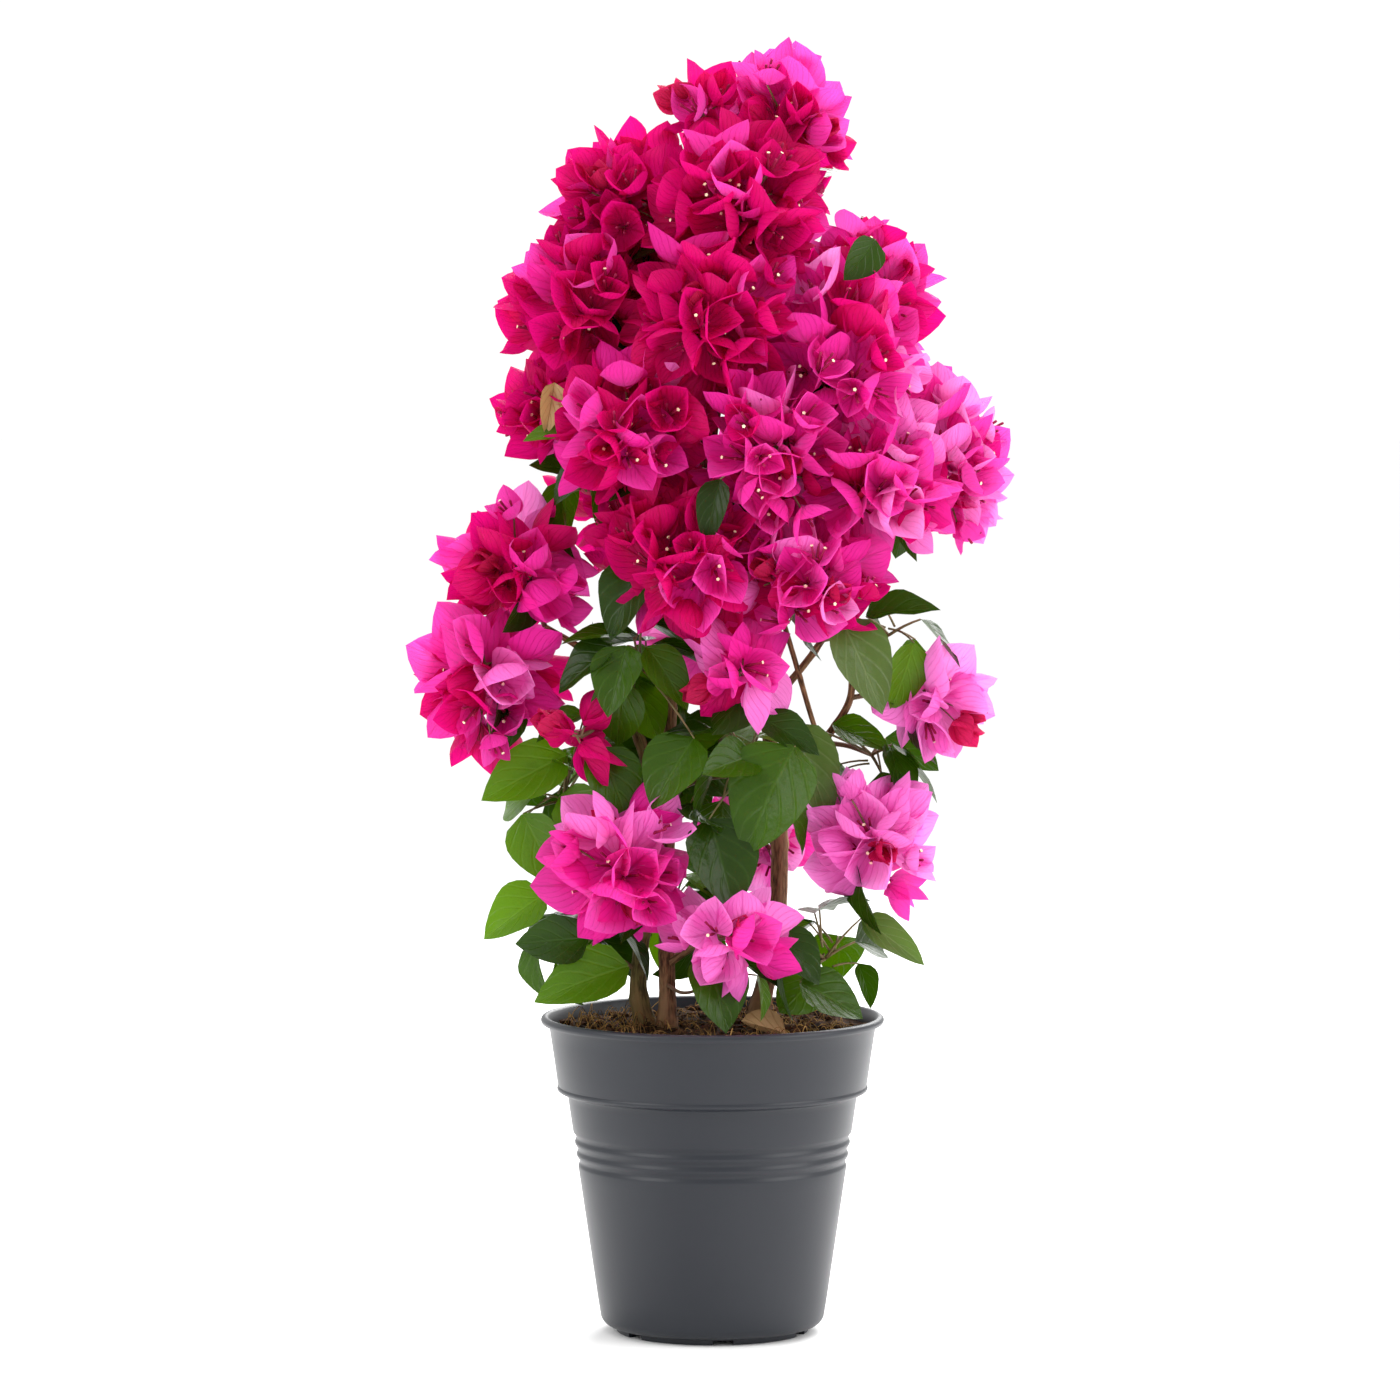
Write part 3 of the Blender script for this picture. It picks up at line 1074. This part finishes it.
def add_bract(colour, end, axes, length, seed):
    along, across, facing = axes
    form = bract_forms[int(BRACT_FORMS * seeded(seed))]
    bract_blades[colour].append(placed_blade(form, end, along, across * -1, facing, length))


def grow_whorl(m, foot, direction, seed, depth, size=1.0):
    """Three bracts at the end of a twig, smaller or turned until two of them at least have room."""
    opening = OPENING[m["kind"]] + 0.5 * seeded(seed + 2)
    for share, swing in product(SHRINKING, WHORL_SWINGS):
        length = BRACT_LENGTH[m["kind"]] * size * share * (0.82 + 0.3 * seeded(seed + 1))
        end = m["centre"] + direction * whorl_length(m, direction, length, opening) * depth
        sway = Vector([1.6 * seeded(seed + 0.13 * i) - 0.8 for i in (4, 5, 6)])
        ahead = (end - foot).normalized() * 0.7 + direction * 0.4 + m["outward"] * 0.3
        axis = (ahead + UP * WHORL_RISE[m["kind"]] + sway).normalized()
        mouth = end + axis * (0.45 * length)
        if whorl_spacing.crowded(mouth, WHORL_SPACING[m["kind"]]):
            continue
        side = perpendicular(axis, BRACT_SIDE)
        side = turned_about(side, axis, math.tau * seeded(seed + 3) + swing)
        grown = []
        for s in range(3):
            turn = math.tau * s / 3 + 0.3 * (seeded(seed + s) - 0.5)
            axes = bract_axes(axis, side, turn, opening + 0.3 * (seeded(seed + 0.1 * s) - 0.5))
            places = blade_places(end, *axes, length, BRACT_WIDTH * length)
            if inside_space(m, places) and clear_of_limbs(m, places):
                grown.append((axes, seed + 5 + s))
        if len(grown) >= 2:
            colour = bract_colour(m, end, direction, seed, depth)
            for axes, form_seed in grown:
                add_bract(colour, end, axes, length, form_seed)
            whorl_spacing.take(mouth)
            whorls.append((end, axis, side, length))
            return end
    return None


def grow_bud(foot, direction, seed):
    """A bud: three narrow young bracts, still closed round each other, on a short stalk."""
    end = foot + direction * (9 + 6 * seeded(seed))
    length = 15 + 6 * seeded(seed + 1)
    side = perpendicular(direction, BRACT_SIDE)
    for s in range(3):
        axes = bract_axes(direction, side, math.tau * s / 3, BUD_OPENING)
        add_bract("young", end, axes, length, seed + 5 + s)
    add_twig("green", foot, end, 0.05, 0.45, 0.35)


bloom_masses = [m for m in MASSES.values() if m["kind"] != "foliage"]
forks = []
for m in bloom_masses:
    for k, seed in enumerate(m["seeds"]):
        direction = spray_direction(m, k, seed)
        end = grow_whorl(m, m["centre"], direction, seed, 1.0, 1.05)
        twig_end = end or m["centre"] + direction * 14
        forks.append((m, direction, m["centre"].lerp(twig_end, 0.45), seed))
        if end:
            add_twig("woody", m["centre"], end, 0.04, 1.1, 0.55)
for m, direction, fork, seed in forks:
    for number in range(SIDE_SPRAYS[m["kind"]]):
        side_seed = seed + 0.37 * (number + 1)
        spin = number * GOLDEN_ANGLE + math.tau * seeded(seed + 0.6)
        aside = turned_about(perpendicular(direction, UP + m["outward"] * 0.1), direction, spin)
        lean = 0.35 + 0.85 * seeded(side_seed + 1)
        away = (direction * math.cos(lean) + aside * math.sin(lean)).normalized()
        depth = 0.62 + 0.4 * seeded(side_seed + 2)
        side_end = grow_whorl(m, fork, away, side_seed, depth)
        if side_end:
            add_twig("green", fork, side_end, 0.06, 0.75, 0.5)
    if seeded(seed + 0.9) < 0.3:
        grow_bud(fork, (direction + UP * 0.3).normalized(), seed + 0.2)

bloom_nodes = [m["name"] for m in bloom_masses]
for colour, colours in BRACT_COLOURS.items():
    parts, uvs = zip(*bract_blades[colour])
    finish = blade_finish("bract_" + colour, colours, **BRACT_SURFACE)
    bracts = piece_from("bracts_" + colour, parts, finish, uvs)
    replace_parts(bracts, *bloom_nodes)


# ---- Flowers ----
# The true flowers are three thin tubes at the heart of each whorl of bracts. Some are still closed,
# and the others end in a small cream star.

FLOWER_LENGTH = 13
FLOWER_RINGS = ((0, 0.5), (0.35, 0.95), (0.7, 0.6), (0.92, 0.8), (1, 0.7))
STAR_RADIUS = 1.1
FLOWER_TUBE = ((0.19, 0.004, 0.045), (0.34, 0.02, 0.07))
FLOWER_STAR = ((0.8, 0.6, 0.34), (0.9, 0.8, 0.6))

tube_parts, star_parts = [], []
for number, (end, axis, side, length) in enumerate(whorls):
    for s in range(3):
        radial = turned_about(side, axis, math.tau * (s + 0.5) / 3)
        ahead = (axis + radial * (0.16 + 0.2 * seeded(number + 0.3 * s))).normalized()
        reach = FLOWER_LENGTH * (0.8 + 0.35 * seeded(number + 0.2 * s))
        foot = end + radial * 0.8
        line = [foot + ahead * reach * share for share, _ in FLOWER_RINGS]
        tube_parts.append(tube(line, [radius for _, radius in FLOWER_RINGS], 5))
        if seeded(number * 3 + s) < 0.25:
            rim = perpendicular(ahead, UP + Vector((0.2, 0.1, 0)))
            heart = foot + ahead * (reach + 0.3)
            star = [heart]
            for point in range(10):
                spoke = turned_about(rim, ahead, math.pi * point / 5)
                star.append(heart + spoke * (STAR_RADIUS if point % 2 == 0 else 0.8) + ahead * 0.4)
            star_parts.append((star, [(0, 1 + i, 1 + (i + 1) % 10) for i in range(10)]))
flower_finishes = (  # piece, its parts, its two colours, roughness, gloss, and its mottling
    ("flower_tubes", tube_parts, FLOWER_TUBE, (0.7, 0.15), (260, 3)),
    ("flower_stars", star_parts, FLOWER_STAR, (0.6, 0.5), (400, 2)),
)
for name, parts, (dark, light), surface, mottling in flower_finishes:
    finish, tree, shader = finish_named(name[:-1], dark, *surface)
    tinted(tree, shader, mottle(tree, object_place(tree), *mottling), dark, light)
    piece_from(name, parts, finish)


# ---- Twigs and stalks ----
# Each mass's own stem and its first twigs are thin brown wood. The finer ones, with the stalks of
# leaves and bracts, are this year's growth, still green and flushed with red.

TWIG_SIDES = {"woody": 6, "green": 5}
TWIG_COLOURS = {
    "woody": ((0.1, 0.05, 0.025), (0.27, 0.17, 0.09)),
    "green": ((0.09, 0.12, 0.03), (0.26, 0.14, 0.07)),
}
DEAD_TWIG = ((-25, -11, 194), (-17, -14, 190), (-9, -15, 192), (-8, -15, 200))
dead_twig, _ = route_through(DEAD_TWIG, 10)
twigs["woody"].append((dead_twig, np.linspace(1.3, 0.7, 11)))
for kind, lines in twigs.items():
    dark, light = TWIG_COLOURS[kind]
    bark, tree, shader = finish_named("twig_" + kind, dark, 0.6)
    streaks = mottle(tree, object_place(tree), 90, 4)
    tinted(tree, shader, streaks, dark, light)
    roughened(tree, shader, streaks, 0.4, 0.0005)
    parts = [tube(line, radii, TWIG_SIDES[kind]) for line, radii in lines]
    piece_from("twigs_" + kind, parts, bark)
